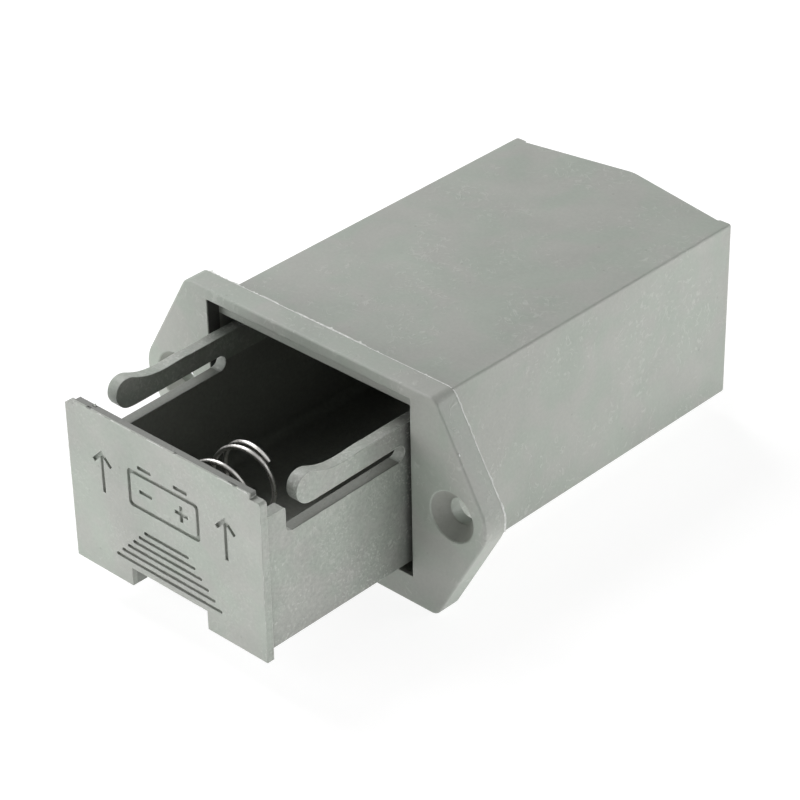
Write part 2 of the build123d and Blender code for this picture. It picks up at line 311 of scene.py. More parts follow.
class Room(ShaderGroup):
    """Mask of a box-shaped room, 1 inside it and 0 outside."""

    title = "room"
    inputs = tuple((name, VECTOR, None) for name in ("Place", "Low", "High"))
    outputs = (("Mask", NUMBER),)

    def build(self, graph: Graph, given: Node, made: Node) -> None:
        """Fill the group, with the arguments of the base."""
        parts = (graph.split(given.outputs[name]) for name in ("Place", "Low", "High"))
        mask: Any = 1.0
        for place, low, high in zip(*parts):
            above = graph.math("GREATER_THAN", place, low)
            below = graph.math("LESS_THAN", place, high)
            mask = graph.math("MULTIPLY", mask, graph.math("MULTIPLY", above, below))
        graph.fill(made, Mask=mask)


@dataclass(frozen=True)
class Finish:
    """Base of the finishes, each with the name of its material."""

    name: str

    def paint(self, graph: Graph, place: Any, shader: Node) -> None:
        """Fill the material.

        Args:
            graph: the material's graph.
            place: socket of the point on the object, in metres.
            shader: its Principled shader.
        """
        raise NotImplementedError

    def make(self) -> bpy.types.Material:
        """Build the material."""
        material, graph, shader = start_material(self.name)
        self.paint(graph, graph.add("ShaderNodeTexCoord").outputs["Object"], shader)
        return material


@dataclass(frozen=True)
class ShadeBox:
    """A box, in millimetres, in which shade is painted: the plastic is darker there.

    Attributes:
        low: lowest corner.
        high: highest corner.
        colour: linear colour of the painted shade in the box.
    """

    low: Point
    high: Point
    colour: Colour


@dataclass(frozen=True)
class GreyPlastic(Finish):
    """Grey-green moulded plastic with a mottled skin.

    Attributes:
        colour: linear base colour.
        tint: linear colour of the greener patches.
        worn_and_highlight: linear colour of scuffs, and of edges lightened by wear and a painted
            highlight.
        roughness: middle roughness.
        rough_grain: how much the grain changes the roughness.
        rough_cloud: how much the clouds add to it.
        relief: strength of the skin's relief, relief_mm deep.
        cloud: strength of the cloudy tone.
        grain: strength of the fine grain.
        pit: strength of the dark pits.
        fleck: strength of the light flecks.
        calm_y: Y, in millimetres, in front of which the skin is smoother.
        calm_mm: length over which it becomes rougher behind calm_y.
        calm_share: share of the grain, flecks and scuffs in the smoother skin.
        scuff: strength of the light scuffs.
        wear_and_highlight: strength of the lighter edges, partly wear and partly a painted
            highlight.
        edge_mm: radius of the softened edges.
        front_edge_mm: the same in front of front_y, a Y in millimetres.
        painted_shade: strength of the painted shade in corners and slits.
        painted_shade_mm: how far the painted shade reaches out of a corner.
        front_painted_shade: the same in front of front_shade_y, a Y in millimetres.
        shade_boxes: boxes in which shade is painted, the plastic darker there.
    """

    colour: Colour = (0.395, 0.405, 0.375)
    tint: Colour = (0.37, 0.405, 0.36)
    worn_and_highlight: Colour = (0.66, 0.68, 0.64)
    roughness: float = 0.46
    rough_grain: float = 0.25
    rough_cloud: float = 0.08
    relief: float = 0.35
    relief_mm: float = 0.06
    cloud: float = 0.3
    grain: float = 0.22
    pit: float = 0.15
    fleck: float = 0.04
    calm_y: float = -100.0
    calm_mm: float = 0.2
    calm_share: float = 0.45
    scuff: float = 0.24
    wear_and_highlight: float = 0.5
    edge_mm: float = 0.08
    front_edge_mm: float = 0.28
    front_y: float = -0.4
    painted_shade: float = 0.6
    painted_shade_mm: float = 9.0
    front_painted_shade: float = 0.2
    front_shade_y: float = -100.0
    shade_boxes: tuple[ShadeBox, ...] = ()

    def tone(self, graph: Graph, skin: Any, y: Any, rough_skin: Any) -> Socket:
        """Brightness of the plastic, about 1 in the open, and less in its corners, where shade is
        painted.

        Args:
            graph: the material's graph.
            skin: outputs of the skin group.
            y: socket of the point's Y.
            rough_skin: socket of how rough the skin is.
        """
        tone = graph.vary(skin["Cloud"], self.cloud, 1.0)
        tone = graph.vary(skin["Grain"], graph.math("MULTIPLY", rough_skin, self.grain), tone)
        tone = graph.math("SUBTRACT", tone, graph.math("MULTIPLY", skin["Pit"], self.pit))
        # Painted shade: ambient occlusion darkens the colour in corners, slits and gaps between
        # parts.
        nooks = graph.fill(graph.add("ShaderNodeAmbientOcclusion", samples=8),
                           Distance=self.painted_shade_mm * MM)
        inner = graph.math("GREATER_THAN", y, self.front_shade_y * MM)
        painted_shade = graph.math("MULTIPLY_ADD", inner, self.painted_shade - self.front_painted_shade,
                           self.front_painted_shade)
        hidden = graph.math("SUBTRACT", nooks.outputs["AO"], 1.0)
        return graph.math("MULTIPLY", tone, graph.math("MULTIPLY_ADD", hidden, painted_shade, 1.0))

    def paint(self, graph: Graph, place: Any, shader: Node) -> None:
        """Fill the material, with the arguments of the base."""
        skin = MouldedSkin().place(graph, Place=place).outputs
        y = graph.split(place)["Y"]
        ahead = graph.math("LESS_THAN", y, self.front_y * MM)
        radius = graph.math("MULTIPLY_ADD", ahead, (self.front_edge_mm - self.edge_mm) * MM,
                            self.edge_mm * MM)
        edge = EdgeWearAndHighlight().place(graph, Place=place, Radius=radius).outputs
        behind = graph.step(y, self.calm_y * MM, (self.calm_y + self.calm_mm) * MM)
        rough_skin = graph.math("MULTIPLY_ADD", behind, 1.0 - self.calm_share, self.calm_share)

        tone = self.tone(graph, skin, y, rough_skin)
        colour = graph.scale_colour(graph.blend(skin["Tint"], self.colour, self.tint), tone)
        light = graph.math("MAXIMUM", graph.math("MULTIPLY", skin["Scuff"], self.scuff),
                           graph.math("MULTIPLY", skin["Fleck"], self.fleck))
        light = graph.math("MULTIPLY", light, rough_skin)
        # Edges lighter: partly wear, partly a painted highlight where light catches them.
        light = graph.math("MAXIMUM", light, graph.math("MULTIPLY", edge["Mask"], self.wear_and_highlight))
        colour = graph.blend(light, colour, self.worn_and_highlight)
        # Painted shade: inside each box the colour is replaced by a darker one.
        for room in self.shade_boxes:
            low, high = (tuple(v * MM for v in corner) for corner in (room.low, room.high))
            inside = Room().place(graph, Place=place, Low=low, High=high).outputs["Mask"]
            colour = graph.blend(inside, colour, graph.scale_colour(room.colour, tone))

        rough = graph.vary(skin["Grain"], self.rough_grain, self.roughness)
        rough = graph.math("MULTIPLY_ADD", skin["Cloud"], self.rough_cloud, rough, clamp=True)
        graph.fill(shader, Base_Color=colour, Roughness=rough)
        graph.relief(shader, skin["Height"], self.relief, self.relief_mm, edge["Normal"])


@dataclass(frozen=True)
class DrawnMetal(Finish):
    """Bright drawn or rolled metal with fine lines.

    Attributes:
        colour: linear colour.
        tarnish: linear colour of the dull patches.
        roughness: middle roughness.
        rough_lines: how much the drawing lines change it.
        rough_dull: how much rougher the dull patches are.
        line_mm: spacing of the drawing lines.
        dull_mm: size of the dull patches.
        relief: strength of the lines' relief, relief_mm deep.
        stretch: how the lines are stretched along X, Y and Z.
    """

    colour: Colour
    tarnish: Colour
    roughness: float = 0.3
    rough_lines: float = 0.3
    rough_dull: float = 0.12
    line_mm: float = 0.12
    dull_mm: float = 1.8
    relief: float = 0.25
    relief_mm: float = 0.03
    stretch: Point = (1.0, 1.0, 1.0)

    def paint(self, graph: Graph, place: Any, shader: Node) -> None:
        """Fill the material, with the arguments of the base."""
        stretched = graph.fill(graph.add("ShaderNodeVectorMath", operation="MULTIPLY"),
                               place, self.stretch)
        lines = graph.noise(stretched.outputs[0], self.line_mm, 3.0, 0.6)
        dull = graph.step(graph.noise(place, self.dull_mm, 3.0, 0.6), 0.45, 0.7)
        rough = graph.vary(lines, self.rough_lines, self.roughness)
        rough = graph.math("MULTIPLY_ADD", dull, self.rough_dull, rough, clamp=True)
        graph.fill(shader, Base_Color=graph.blend(dull, self.colour, self.tarnish),
                   Roughness=rough, Metallic=1.0)
        graph.relief(shader, lines, self.relief, self.relief_mm)


@dataclass(frozen=True)
class TornPlastic(Finish):
    """Thin pale flash left along a mould's parting line.

    Attributes:
        colour: linear colour.
        shade: linear colour of the thicker places.
        patch_mm: size of the thicker places.
        grain_mm: size of the grain.
        roughness: least roughness.
        rough_grain: how much the grain adds to it.
        relief: strength of the grain's relief, relief_mm deep.
        clear: share of the light that goes into it, depth_mm deep.
    """

    colour: Colour = (0.85, 0.86, 0.83)
    shade: Colour = (0.58, 0.6, 0.56)
    patch_mm: float = 1.3
    grain_mm: float = 0.3
    roughness: float = 0.4
    rough_grain: float = 0.3
    relief: float = 0.3
    relief_mm: float = 0.05
    clear: float = 0.8
    depth_mm: float = 0.4

    def paint(self, graph: Graph, place: Any, shader: Node) -> None:
        """Fill the material, with the arguments of the base."""
        patch = graph.step(graph.noise(place, self.patch_mm, 3.0, 0.6), 0.4, 0.65)
        grain = graph.noise(place, self.grain_mm, 2.0)
        graph.fill(shader, Base_Color=graph.blend(patch, self.shade, self.colour),
                   Roughness=graph.math("MULTIPLY_ADD", grain, self.rough_grain,
                                        self.roughness),
                   Subsurface_Weight=self.clear, Subsurface_Radius=(1.0, 1.0, 1.0),
                   Subsurface_Scale=self.depth_mm * MM)
        graph.relief(shader, grain, self.relief, self.relief_mm)


def start_material(name: str) -> tuple[bpy.types.Material, Graph, Node]:
    """Make a material of one Principled shader, with its graph and that shader's node."""
    material = bpy.data.materials.new(name)
    material.use_nodes = True
    material.node_tree.nodes.clear()
    graph = Graph(material.node_tree)
    shader = graph.add("ShaderNodeBsdfPrincipled")
    graph.fill(graph.add("ShaderNodeOutputMaterial"), Surface=shader.outputs["BSDF"])
    return material, graph, shader


def settle(piece: Piece, body: Body, material: bpy.types.Material) -> None:
    """Dress a piece and let it ride on its body.

    Args:
        piece: the finished object.
        body: the body that it moves with.
        material: its material.
    """
    piece.data.materials.clear()
    piece.data.materials.append(material)
    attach(piece, body.value)
    log.info("%s rides on %s with %d faces", piece.name, body.value, len(piece.data.polygons))


def link_object(name: str, data: bpy.types.ID) -> Piece:
    """Put a mesh, curve, lamp or camera into the scene as an object of that name."""
    piece = bpy.data.objects.new(name, data)
    bpy.context.scene.collection.objects.link(piece)
    return piece


def new_mesh(name: str, work: MeshWork) -> bpy.types.Mesh:
    """Turn mesh work into a mesh of that name, and free the work."""
    mesh = bpy.data.meshes.new(name)
    work.to_mesh(mesh)
    work.free()
    return mesh


def skin_rings(work: MeshWork, rings: Sequence[Sequence[bmesh.types.BMVert]]) -> None:
    """Join a row of rings, each of as many points, into one solid with closed ends."""
    for first, second in zip(rings, rings[1:]):
        for k in range(len(first)):
            j = (k + 1) % len(first)
            work.faces.new((first[k], first[j], second[j], second[k]))
    work.faces.new(rings[0])
    work.faces.new(reversed(rings[-1]))


@contextmanager
def editing(mesh: bpy.types.Mesh) -> Iterator[MeshWork]:
    """Open a mesh as mesh work, and write the work back to it at the end."""
    work = bmesh.new()
    work.from_mesh(mesh)
    yield work
    work.to_mesh(mesh)
    work.free()


def soften(mesh: bpy.types.Mesh, angle_deg: float = 28.0) -> None:
    """Shade a mesh smooth, with edges from an angle upwards kept sharp."""
    with editing(mesh) as work:
        for face in work.faces:
            face.smooth = True
        for edge in work.edges:
            if len(edge.link_faces) == 2:
                edge.smooth = edge.calc_face_angle(0.0) < math.radians(angle_deg)


def copy_node(node: str, name: str) -> Piece:
    """Copy the mesh of a CAD node into a piece of its own, in the same place."""
    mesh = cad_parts[node].data.copy()
    mesh.name = name
    with editing(mesh) as work:
        bmesh.ops.remove_doubles(work, verts=work.verts, dist=1e-6)
        bmesh.ops.dissolve_limit(work, angle_limit=math.radians(0.2), verts=work.verts,
                                 edges=work.edges)
    return link_object(name, mesh)


def apply_modifiers(piece: Piece) -> None:
    """Replace a piece's mesh by the result of its modifiers."""
    view = bpy.context.evaluated_depsgraph_get()
    made = bpy.data.meshes.new_from_object(piece.evaluated_get(view))
    piece.modifiers.clear()
    piece.data = made


def cut_away(piece: Piece, cutter: Piece) -> None:
    """Cut a closed solid out of a piece, and remove the cutter."""
    cut = piece.modifiers.new("cut", "BOOLEAN")
    cut.operation, cut.solver, cut.object = "DIFFERENCE", "EXACT", cutter
    apply_modifiers(piece)
    bpy.data.objects.remove(cutter)


def rounded_outline(corners: Sequence[tuple[float, float, float]], steps: int) -> Loop:
    """Outline of a polygon with rounded corners.

    Args:
        corners: X, Z and radius of each corner, in order.
        steps: number of spans in each rounded corner.
    """
    points: Loop = []
    count = len(corners)
    for i, (x, z, radius) in enumerate(corners):
        here = Vector((x, z))
        before = (Vector(corners[i - 1][:2]) - here).normalized()
        after = (Vector(corners[(i + 1) % count][:2]) - here).normalized()
        half = before.angle(after) / 2
        centre = here + (before + after).normalized() * (radius / math.sin(half))
        start = here + before * (radius / math.tan(half)) - centre
        end = here + after * (radius / math.tan(half)) - centre
        sweep = start.angle_signed(end)
        for k in range(steps + 1):
            turned = start.copy()
            turned.rotate(Matrix.Rotation(-sweep * k / steps, 2))
            points.append(tuple(centre + turned))
    return points


@dataclass(frozen=True)
class HousingSizes:
    """Sizes of the flange and box, in millimetres."""

    flange_top: float = 14.3
    flange_bottom: float = -14.65
    corner_x: float = 19.6
    corner_r: float = 1.4
    ear_x: float = 27.75
    ear_r: float = 4.7


FLASH_SPACING = 0.25    # from one station of a run to the next
FLASH_BROKEN = 0.012    # lower flash counts as broken off
FLASH_ROOT = 0.05       # depth of the root in the edge
FLASH_RAGGED = 0.38     # largest change of the level between two stations
FLASH_PEAK = 1.6        # highest flash, in mean heights
FLASH_END = 0.3         # share of the height at both ends of a sliver
SPIKE_CHANCE = 0.03     # share of the stations with a torn spike
SPIKE_HEIGHT = 2.2      # height of a spike, in heights of the flash there
SPIKE_LEAST = 1.5       # least height of a spike, in mean heights


@dataclass(frozen=True)
class Station:
    """One place along a run of flash: point on the edge, direction and height."""

    base: Vector
    out: Vector
    tall: float


@dataclass(frozen=True)
class FlashRun:
    """One run of thin torn flash along an edge, in millimetres.

    Attributes:
        name: name of the piece.
        path: points of the edge.
        out: direction in which the flash stands, away from the edge.
        height: mean height of the flash.
        thick: thickness at its root.
        seed: seed of its ragged outline.
        gaps: share of the edge where the flash has broken off.
        least: share of the height that is left everywhere.
    """

    name: str
    path: tuple[Point, ...]
    out: tuple[Point, ...]
    height: float = 0.1
    thick: float = 0.07
    seed: int = 1
    gaps: float = 0.25
    least: float = 0.0

    def make(self) -> Piece:
        """Build the flash as closed slivers with a three-sided section."""
        work = bmesh.new()
        run: list[Station] = []
        for station in self.stations(random.Random(self.seed)):
            if station.tall > FLASH_BROKEN:
                run.append(station)
                continue
            self.close_run(work, run)
            run = []
        self.close_run(work, run)
        bmesh.ops.recalc_face_normals(work, faces=work.faces)
        return link_object(self.name, new_mesh(self.name, work))

    def stations(self, rng: random.Random) -> list[Station]:
        """Draw the flash's height at even places along the edge, in order."""
        found = []
        level = rng.random()
        for i, (start, end) in enumerate(zip(self.path, self.path[1:])):
            a, b = Vector(start), Vector(end)
            out_a, out_b = Vector(self.out[i]), Vector(self.out[i + 1])
            steps = max(1, round((b - a).length / FLASH_SPACING))
            for k in range(steps):
                share = k / steps
                level = min(max(level + rng.uniform(-FLASH_RAGGED, FLASH_RAGGED), 0.0), 1.0)
                tall = self.height * max(0.0, level - self.gaps) / (1 - self.gaps) * FLASH_PEAK
                tall = max(tall, self.height * self.least)
                if rng.random() < SPIKE_CHANCE:
                    tall = max(tall * SPIKE_HEIGHT, self.height * SPIKE_LEAST)
                out = out_a.lerp(out_b, share).normalized()
                found.append(Station(a.lerp(b, share), out, tall))
        return found

    def close_run(self, work: MeshWork, run: Sequence[Station]) -> None:
        """Add one unbroken sliver to the mesh work; a station alone makes none."""
        last = len(run) - 1
        if last < 1:
            return
        rings = []
        for i, here in enumerate(run):
            ahead = (run[min(i + 1, last)].base - run[max(i - 1, 0)].base).normalized()
            across = here.out.cross(ahead).normalized() * (self.thick / 2)
            tall = here.tall * FLASH_END if i in (0, last) else here.tall
            tip = here.base + here.out * tall
            root = here.base - here.out * FLASH_ROOT
            rings.append([work.verts.new(p * MM) for p in (root + across, tip, root - across)])
        skin_rings(work, rings)


@dataclass
class Housing:
    """Flange, box and tunnel in one moulding, with the flash of its parting line."""

    sizes: HousingSizes = field(default_factory=HousingSizes)
    plastic: GreyPlastic = GreyPlastic(
        # Painted shade: corners darker, and darker still inside the box, on the jambs of the
        # opening and in the countersunk screw holes.
        "housing_plastic", painted_shade=0.3,
        shade_boxes=(ShadeBox((-16.02, -1.2, -11.72), (16.02, 50.3, 10.45), (0.34, 0.35, 0.32)),
               ShadeBox((-16.02, -2.95, -10.85), (-15.98, -1.2, 12.85), (0.08, 0.08, 0.075)),
               ShadeBox((15.98, -2.95, -10.85), (16.02, -1.2, 12.85), (0.08, 0.08, 0.075)),
               ShadeBox((-25.25, -2.98, -3.25), (-18.75, -1.4, 3.25), (0.3, 0.31, 0.28)),
               ShadeBox((18.75, -2.98, -3.25), (25.25, -1.4, 3.25), (0.3, 0.31, 0.28))))
    flash: TornPlastic = TornPlastic("housing_flash")
    lean_out: float = 0.6
    lean_back: float = 0.8

    def outline(self) -> Loop:
        """Flange outline, clockwise from its upper left, ARC_STEPS + 1 points a corner."""
        s = self.sizes
        return rounded_outline([
            (-s.corner_x, s.flange_top, s.corner_r), (s.corner_x, s.flange_top, s.corner_r),
            (s.ear_x, 0.0, s.ear_r), (s.corner_x, s.flange_bottom, s.corner_r),
            (-s.corner_x, s.flange_bottom, s.corner_r), (-s.ear_x, 0.0, s.ear_r)], ARC_STEPS)

    def edge_run(self, name: str, first: int, last: int, **how: Any) -> FlashRun:
        """A run of flash along the rear edge of the flange.

        Args:
            name: name of the piece.
            first: number of the outline point where it starts.
            last: number of the outline point where it ends.
            how: other values of the run.
        """
        points = self.outline()
        path, out = [], []
        for i in range(first, last + 1):
            x, z = points[i % len(points)]
            x0, z0 = points[(i - 1) % len(points)]
            x1, z1 = points[(i + 1) % len(points)]
            normal = Vector((-(z1 - z0), 0.0, x1 - x0)).normalized()
            path.append((x, 0.0, z))
            out.append(tuple(normal * self.lean_out + Vector((0.0, self.lean_back, 0.0))))
        return FlashRun(name, tuple(path), tuple(out), **how)

    def build(self) -> None:
        """Dress the moulding and add its flash."""
        shell = copy_node("housing", "housing_shell")
        soften(shell.data)
        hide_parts("housing")
        settle(shell, Body.HOUSING, self.plastic.make())
        torn = self.flash.make()
        corner = ARC_STEPS + 1  # outline points of one corner
        runs = (
            self.edge_run("flash_right_ear", corner + 4, 2 * corner + 7, height=0.13, thick=0.1,
                          seed=11, gaps=0.1, least=0.5),
            self.edge_run("flash_top_edge", corner - 1, corner + 4, height=0.09, thick=0.08,
                          seed=5, gaps=0.3, least=0.35),
            self.edge_run("flash_left_ear", 5 * corner + 2, 6 * corner - 1, height=0.07,
                          thick=0.08, seed=23, gaps=0.4),
            FlashRun("nub_right_ear", ((22.88, -2.8, 8.54), (23.16, -2.8, 8.05)),
                     ((0.87, -0.3, 0.5),) * 2, height=0.2, thick=0.3, seed=2, gaps=0.0,
                     least=1.0),
        )
        for run in runs:
            settle(run.make(), Body.HOUSING, torn)


@dataclass(frozen=True)
class SignSizes:
    """Sizes of the cut sign on the drawer front, in millimetres."""

    centre_z: float = 3.1
    width: float = 11.4
    height: float = 5.0
    line: float = 0.5
    corner_r: float = 0.6
    inner_r: float = 0.4
    mark: float = 2.1
    mark_r: float = 0.2
    cap_w: float = 2.2
    cap_r: float = 0.15
    cap_gap: float = 0.4
    arrow_x: float = 9.8
    arrow_h: float = 5.6
    arrow_w: float = 3.2
    depth: float = 0.34


def slot_floor_shade_boxes(front: tuple[float, float] = (-20.6, 4.16),
                     rear: tuple[float, float] = (-3.95, 4.51),
                     steps: int = 4, half_w: float = 15.5,
                     reach: float = 0.03) -> tuple[ShadeBox, ...]:
    """Thin boxes of painted shade, front to rear, along the sloping floors of the spring arms'
    slots under the arms.

    Args:
        front: Y and Z of the front end of a floor.
        rear: Y and Z of its rear end.
        steps: number of boxes.
        half_w: half of a box's width.
        reach: how far a box reaches above and below the floor.
    """
    shade_boxes = []
    for i in range(steps):
        y0, y1 = (front[0] + (rear[0] - front[0]) * k / steps for k in (i, i + 1))
        z0, z1 = (front[1] + (rear[1] - front[1]) * k / steps for k in (i, i + 1))
        shade_boxes.append(ShadeBox((-half_w, y0, z0 - reach), (half_w, y1, z1 + reach),
                              (0.22, 0.23, 0.205)))
    return tuple(shade_boxes)


@dataclass
class Drawer:
    """Tray with its front, spring arms and hooks in one moulding."""

    front_y: float = -25.55
    rear_y: float = -24.55
    top_z: float = 10.75
    chips: tuple[tuple[tuple[float, float], ...], ...] = (
        ((-11.95, 11.0), (-11.75, 10.66), (-11.25, 10.58), (-11.0, 11.0)),
        ((10.1, 11.0), (10.5, 10.68), (11.6, 10.6), (12.3, 11.0)),
        ((2.1, 11.0), (2.2, 10.7), (2.5, 10.69), (2.65, 11.0)),
    )
    sign: SignSizes = field(default_factory=SignSizes)
    plastic: GreyPlastic = GreyPlastic(
        # Painted shade: corners darker, and darker still inside the tray, on the top face of the
        # front and on the slot floors under the arms.
        "drawer_plastic", cloud=0.44, grain=0.6, fleck=0.4, calm_y=-25.4, scuff=0.3, wear_and_highlight=0.85,
        edge_mm=0.13, front_edge_mm=0.13, painted_shade=0.75, front_shade_y=-24.9,
        shade_boxes=(ShadeBox((-13.47, -24.56, -8.55), (13.47, 25.25, 5.7), (0.3, 0.31, 0.285)),
               ShadeBox((-15.5, -25.35, 10.3), (15.5, -24.4, 10.8), (0.17, 0.175, 0.16)),
               *slot_floor_shade_boxes()))
    flash: TornPlastic = TornPlastic("drawer_flash")

    def sign_shapes(self) -> list[list[Loop]]:
        """Draw the sign and the chips of the upper edge, each a loop and its holes."""
        s = self.sign
        z, half_w, half_h, t = s.centre_z, s.width / 2, s.height / 2, s.line
        shapes = [[self.box_loop(0, z, half_w, half_h, s.corner_r),
                   self.box_loop(0, z, half_w - t, half_h - t, s.inner_r)]]
        for x in (-half_w / 2, half_w / 2):
            shapes.append([self.box_loop(x, z + half_h + s.cap_gap + t / 2, s.cap_w / 2, t / 2,
                                         s.cap_r)])
        m = s.mark / 2
        shapes.append([self.box_loop(-half_w / 2, z, m, t / 2, s.mark_r)])
        cross = [(half_w / 2 + dx, z + dz) for dx, dz in
                 ((-m, -t / 2), (-t / 2, -t / 2), (-t / 2, -m), (t / 2, -m), (t / 2, -t / 2),
                  (m, -t / 2), (m, t / 2), (t / 2, t / 2), (t / 2, m), (-t / 2, m),
                  (-t / 2, t / 2), (-m, t / 2))]
        shapes.append([cross])
        shapes += [self.arrow(-s.arrow_x), self.arrow(s.arrow_x)]
        return shapes + [[list(chip)] for chip in self.chips]

    def arrow(self, x: float) -> list[Loop]:
        """Draw the one loop of an upward arrow of three strokes, with its shaft at x."""
        s = self.sign
        half, slant = s.line / 2, s.line / math.sqrt(2)
        low, high, wide = s.centre_z - s.arrow_h / 2, s.centre_z + s.arrow_h / 2, s.arrow_w / 2
        neck = high - half - 2 * slant
        right = [(half, low), (half, neck), (wide - slant, high - wide - slant),
                 (wide, high - wide), (0.0, high)]
        left = [(-dx, z) for dx, z in reversed(right[:-1])]
        return [[(x + dx, z) for dx, z in right + left]]

    @staticmethod
    def box_loop(x: float, z: float, half_w: float, half_h: float, radius: float) -> Loop:
        """Points of a rounded rectangle about a point."""
        return rounded_outline([(x - half_w, z + half_h, radius), (x + half_w, z + half_h, radius),
                                (x + half_w, z - half_h, radius),
                                (x - half_w, z - half_h, radius)], SIGN_ARC_STEPS)

    def cutter(self) -> Piece:
        """Make the solid that cuts the sign into the drawer front."""
        drawn = bpy.data.curves.new("sign_outline", "CURVE")
        drawn.dimensions = "2D"
        drawn.fill_mode = "BOTH"
        drawn.extrude = self.sign.depth * MM
        for shape in self.sign_shapes():
            for loop in shape:
                spline = drawn.splines.new("POLY")
                spline.points.add(len(loop) - 1)
                for point, (x, z) in zip(spline.points, loop):
                    point.co = (x * MM, z * MM, 0.0, 1.0)
                spline.use_cyclic_u = True
        holder = link_object("sign_outline", drawn)
        holder.matrix_world = (Matrix.Translation((0, self.front_y * MM, 0))
                               @ Matrix.Rotation(math.pi / 2, 4, "X"))
        bpy.context.view_layer.update()
        view = bpy.context.evaluated_depsgraph_get()
        mesh = bpy.data.meshes.new_from_object(holder.evaluated_get(view))
        mesh.transform(holder.matrix_world)
        bpy.data.objects.remove(holder)
        with editing(mesh) as work:
            bmesh.ops.remove_doubles(work, verts=work.verts, dist=1e-7)
            bmesh.ops.recalc_face_normals(work, faces=work.faces)
        return link_object("sign_cutter", mesh)

    def rim_run(self, name: str, path: Sequence[Point], out: Point, **how: Any) -> FlashRun:
        """A run of flash along an edge of the front."""
        return FlashRun(name, tuple(path), tuple(out for _ in path), **how)

    def build(self) -> None:
        """Cut the sign, dress the moulding and add the torn rim of its front."""
        tray = copy_node("drawer", "drawer_tray")
        cut_away(tray, self.cutter())
        soften(tray.data)
        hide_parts("drawer")
        settle(tray, Body.DRAWER, self.plastic.make())
        torn = self.flash.make()
        y = self.front_y
        runs = (
            self.rim_run("flash_front_top", ((-13.8, y, self.top_z), (13.8, y, self.top_z)),
                         (0.0, -0.35, 0.9), height=0.06, thick=0.08, seed=3, gaps=0.2),
            self.rim_run("flash_front_left", ((-15.4, y, 10.0), (-15.4, y, -10.6)),
                         (-0.7, -0.7, 0.0), height=0.035, thick=0.05, seed=8, gaps=0.45),
            self.rim_run("flash_front_right", ((15.4, y, 10.0), (15.4, y, -10.6)),
                         (0.7, -0.7, 0.0), height=0.05, thick=0.06, seed=9, gaps=0.35),
        )
        for run in runs:
            settle(run.make(), Body.DRAWER, torn)
        nib = self.rim_run("nib_rear_top", ((-13.3, self.rear_y - 0.15, self.top_z),
                                            (-10.7, self.rear_y - 0.15, self.top_z)),
                           (0.0, 0.3, 1.0), height=0.3, thick=0.45, seed=4, gaps=0.0)
        settle(nib.make(), Body.DRAWER, tray.data.materials[0])


@dataclass
class CoilSpring:
    """Compression spring with a closed coil at each end, seated round the boss."""

    wire_d: float = 0.6
    coil_r: float = 4.15
    length: float = 12.75
    turns: float = 4.75
    end_pitch: float = 0.75
    end_past_top: float = 0.12
    foot_y: float = -24.55
    centre_z: float = 0.25
    per_turn: int = 56
    sides: int = 14
    end_share: float = 0.82
    wire: DrawnMetal = DrawnMetal("spring_steel", (0.56, 0.55, 0.53), (0.36, 0.35, 0.34),
                                  line_mm=0.25)

    def centre_line(self) -> list[Vector]:
        """Points along the middle of the wire, in millimetres."""
        open_turns = self.turns - 2
        open_pitch = (self.length - self.wire_d - 2 * self.end_pitch) / open_turns
        steps = round(self.turns * self.per_turn)
        points = []
        for i in range(steps + 1):
            lap = self.turns * i / steps
            opened = min(max(lap - 1, 0), open_turns)
            turn = 2 * math.pi * (lap - self.turns + self.end_past_top)
            points.append(Vector((
                self.coil_r * math.sin(turn),
                self.foot_y + self.wire_d / 2 + (lap - opened) * self.end_pitch
                + opened * open_pitch,
                self.centre_z + self.coil_r * math.cos(turn))))
        return points

    def mesh(self) -> bpy.types.Mesh:
        """Sweep the round wire along its centre line into a closed mesh."""
        points = self.centre_line()
        axis_point = Vector((0.0, 0.0, self.centre_z))
        work = bmesh.new()
        rings = []
        for i, here in enumerate(points):
            ahead = (points[min(i + 1, len(points) - 1)] - points[max(i - 1, 0)]).normalized()
            spoke = here - axis_point
            spoke.y = 0.0
            across = (spoke - ahead * spoke.dot(ahead)).normalized()
            up = ahead.cross(across)
            radius = self.wire_d / 2
            if i in (0, len(points) - 1):
                radius *= self.end_share
            rings.append([work.verts.new((here + (across * math.cos(a) + up * math.sin(a))
                                          * radius) * MM)
                          for a in (2 * math.pi * k / self.sides for k in range(self.sides))])
        skin_rings(work, rings)
        bmesh.ops.recalc_face_normals(work, faces=work.faces)
        return new_mesh("coil_spring", work)

    def build(self) -> None:
        """Build the spring in the place of its CAD node."""
        piece = link_object("coil_spring", self.mesh())
        soften(piece.data, 50.0)
        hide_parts("battery_spring")
        settle(piece, Body.DRAWER, self.wire.make())


@dataclass
class Contacts:
    """Two bent contact strips whose solder tags stand out of the rear wall."""

    nodes: tuple[str, ...] = ("contact_left", "contact_right")
    strip: DrawnMetal = DrawnMetal("contact_strip", (0.72, 0.70, 0.64), (0.5, 0.48, 0.42),
                                   line_mm=0.15, stretch=(1.0, 0.12, 1.0))

    def build(self) -> None:
        """Dress the strips."""
        material = self.strip.make()
        for node in self.nodes:
            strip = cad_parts[node]
            strip.data.materials.clear()
            strip.data.materials.append(material)
            log.info("%s dressed", node)


@dataclass(frozen=True)
class Lamp:
    """One soft square lamp aimed at the object.

    Attributes:
        name: name of the lamp.
        place: where it stands, in millimetres.
        power: radiant power in watts.
        target: the point that it faces, in millimetres.
        side: length of its sides, in millimetres.
    """

    name: str
    place: Point
    power: float
    target: Point = (0.0, 10.0, 0.0)
    side: float = 320.0

    def build(self) -> None:
        """Place the lamp."""
        data = bpy.data.lights.new(self.name, "AREA")
        data.shape = "SQUARE"
        data.size = self.side * MM
        data.energy = self.power
        lamp = link_object(self.name, data)
        lamp.location = Vector(self.place) * MM
        aim = Vector(self.target) - Vector(self.place)
        lamp.rotation_euler = aim.to_track_quat("-Z", "Y").to_euler()


